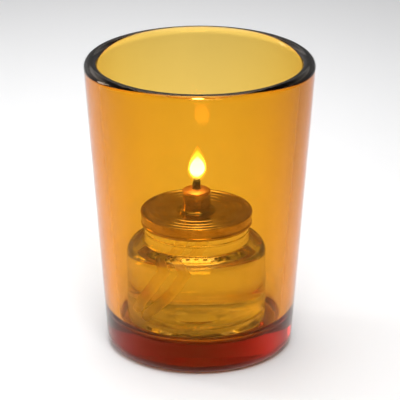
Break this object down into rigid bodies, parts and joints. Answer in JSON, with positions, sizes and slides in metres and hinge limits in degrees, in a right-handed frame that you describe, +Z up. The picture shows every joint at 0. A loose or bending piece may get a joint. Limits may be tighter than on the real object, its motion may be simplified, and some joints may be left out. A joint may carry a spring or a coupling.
{
  "type": "tealight holder",
  "caption": "Tapered amber glass votive holder with a liquid fuel cell: clear squat bottle of lamp oil, ringed brass cap, wick tube, burner wick and feeder wicks.",
  "frame": {"origin": "middle of the glass's base, on the surface that it stands on", "axes": "+Z up, out of the glass's mouth; +X to the right and -Y to the front, the side where the feeder wicks lie in the bottle"},
  "size_m": [0.07, 0.07, 0.092],
  "materials": {
    "amber_glass": "pressed and fire-polished amber glass, clear and glossy",
    "clear_glass": "clear moulded glass, glossy, stippled under the base",
    "lamp_oil": "clear liquid lamp oil",
    "brass_plate": "brass-coloured plated sheet, satin, fine stamped rings",
    "brass_tube": "drawn brass-coloured tube, semi-bright, heat-tinted at the top",
    "liner": "matt white sealing foam",
    "charred_wick": "braided glass-fibre wick, charred at the tip",
    "feeder_wick": "natural braided cotton, soaked in oil"
  },
  "bodies": {
    "glass": {"votive_glass": "amber_glass"},
    "fuel_cell": {"fuel_jar": "clear_glass", "lamp_oil": "lamp_oil", "jar_cap": "brass_plate", "cap_liner": "liner", "wick_tube": "brass_tube", "burner_wick": "charred_wick", "feeder_left": "feeder_wick", "feeder_right": "feeder_wick"}
  },
  "joints": [
    {"name": "cell_lift", "type": "slide", "parent": "glass", "child": "fuel_cell", "axis": [0, 0, 1], "range_m": [0, 0.088]}
  ]
}
